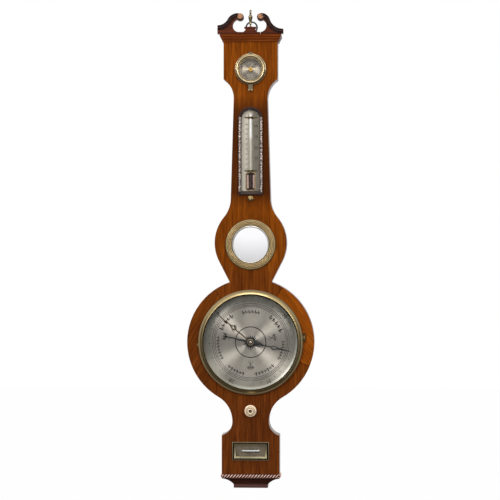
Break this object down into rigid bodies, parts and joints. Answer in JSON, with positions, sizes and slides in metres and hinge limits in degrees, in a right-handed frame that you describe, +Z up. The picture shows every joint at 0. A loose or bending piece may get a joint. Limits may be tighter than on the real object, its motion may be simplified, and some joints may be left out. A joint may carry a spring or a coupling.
{
  "type": "banjo barometer",
  "caption": "Wall-hung wheel barometer in a banjo-shaped wooden case with a swan-neck pediment, hygrometer, thermometer, convex mirror, weather dial and spirit level.",
  "frame": {"origin": "centre of the hanging ring at the top of the back", "axes": "Z up along the case, -Y out of the front towards the reader, +Y to the wall, X to the reader's right"},
  "size_m": [0.2716, 0.0633, 1.0208],
  "materials": {
    "pine": "stained softwood carcass",
    "mahogany": "french polished mahogany veneer",
    "dark_mahogany": "dark polished mahogany",
    "rope_inlay": "pale rope-twist moulding",
    "bone": "turned and polished bone",
    "brass": "aged lacquered brass",
    "silvered": "silvered brass with circular grain",
    "blued_steel": "blued steel",
    "glass": "clear glass",
    "mirror": "silvered convex glass",
    "mercury": "liquid metal",
    "thread": "fine silk thread"
  },
  "bodies": {
    "case": {"carcass": "pine", "front_veneer": "mahogany", "pediment_board": "dark_mahogany", "swan_mouldings": "dark_mahogany", "scroll_rosettes": "bone", "finial_plinth": "dark_mahogany", "finial": "brass", "cornice": "dark_mahogany", "rope_moulding": "rope_inlay", "base_cove": "dark_mahogany", "base_plinth": "dark_mahogany", "hanging_plate": "brass", "channel_cover_upper": "pine", "channel_cover_lower": "pine", "case_screws": "brass", "door_hinge_case_leaf": "brass", "door_hinge_pin": "brass", "hygro_cup": "brass", "hygro_dial": "silvered", "hygro_hinge": "brass", "mirror_backboard": "pine", "mirror_glass": "mirror", "mirror_bezel": "brass", "dial_plate": "silvered", "bezel_hinge_leaf": "brass", "bezel_hinge_pin": "brass", "movement_bridge": "brass", "set_knob_bush": "brass", "set_cord": "thread", "level_frame": "brass", "level_plate": "silvered", "level_vial": "glass", "siphon_tube": "glass", "mercury": "mercury", "tube_mountings": "brass", "counterweight_tube": "glass", "float_thread": "thread"},
    "ring": {"hanging_ring": "blued_steel"},
    "door": {"back_door": "pine", "door_hinge_door_leaf": "brass"},
    "turn_button": {"turn_button": "brass"},
    "hygro_bezel": {"hygro_bezel": "brass", "hygro_glass": "glass"},
    "hygro_hand": {"hygro_hand": "brass"},
    "thermometer": {"thermo_box": "dark_mahogany", "thermo_plate": "silvered", "thermo_tube": "glass", "thermo_clips": "brass", "thermo_bulb_guard": "silvered", "thermo_glass": "glass"},
    "thermo_knob": {"thermo_knob": "brass"},
    "bezel": {"bezel": "brass", "dial_glass": "glass"},
    "pointer": {"pointer_arbor": "brass", "pointer_hand": "blued_steel"},
    "set_hand": {"set_hand_pipe": "brass", "set_hand": "brass"},
    "set_knob": {"set_knob": "bone"},
    "float": {"float": "glass"},
    "counterweight": {"counterweight": "glass"}
  },
  "joints": [
    {"name": "ring_swing", "type": "hinge", "parent": "case", "child": "ring", "pos_m": [0, 0, -0.0157], "axis": [1, 0, 0], "range_deg": [-70, 50]},
    {"name": "door_hinge", "type": "hinge", "parent": "case", "child": "door", "pos_m": [-0.11505, 0.0003, -0.67712], "axis": [0, 0, 1], "range_deg": [0, 95]},
    {"name": "button_turn", "type": "hinge", "parent": "case", "child": "turn_button", "pos_m": [0.11885, 0, -0.67712], "axis": [0, 1, 0], "range_deg": [0, 90]},
    {"name": "hygro_bezel_hinge", "type": "hinge", "parent": "case", "child": "hygro_bezel", "pos_m": [0, -0.047, -0.059], "axis": [1, 0, 0], "range_deg": [-100, 0]},
    {"name": "hygro_hand_turn", "type": "hinge", "parent": "case", "child": "hygro_hand", "pos_m": [0, 0, -0.0946], "axis": [0, 1, 0], "range_deg": [-100, 100]},
    {"name": "thermometer_lift", "type": "slide", "parent": "case", "child": "thermometer", "axis": [0, -1, 0], "range_m": [0, 0.03]},
    {"name": "thermo_knob_turn", "type": "hinge", "parent": "case", "child": "thermo_knob", "pos_m": [0, 0, -0.37029], "axis": [0, 1, 0], "continuous": true},
    {"name": "bezel_hinge", "type": "hinge", "parent": "case", "child": "bezel", "pos_m": [0.11465, -0.0476, -0.66612], "axis": [0, 0, 1], "range_deg": [0, 105]},
    {"name": "pointer_turn", "type": "hinge", "parent": "case", "child": "pointer", "pos_m": [0, 0, -0.67712], "axis": [0, 1, 0], "range_deg": [-256.5, 52.7]},
    {"name": "float_slide", "type": "slide", "parent": "case", "child": "float", "axis": [0, 0, 1], "range_m": [-0.0066, 0.0317], "deforming": ["float_thread"]},
    {"name": "counterweight_slide", "type": "slide", "parent": "case", "child": "counterweight", "axis": [0, 0, 1], "range_m": [-0.0317, 0.0066]},
    {"name": "set_knob_turn", "type": "hinge", "parent": "case", "child": "set_knob", "pos_m": [0, 0, -0.8236], "axis": [0, 1, 0], "continuous": true},
    {"name": "set_hand_turn", "type": "hinge", "parent": "case", "child": "set_hand", "pos_m": [0, 0, -0.67712], "axis": [0, 1, 0], "continuous": true}
  ],
  "couplings": [
    {"joint": "float_slide", "follows": "pointer_turn", "m_per_rad": -0.00706},
    {"joint": "counterweight_slide", "follows": "pointer_turn", "m_per_rad": 0.00706},
    {"joint": "set_knob_turn", "follows": "set_hand_turn", "ratio": 1}
  ]
}
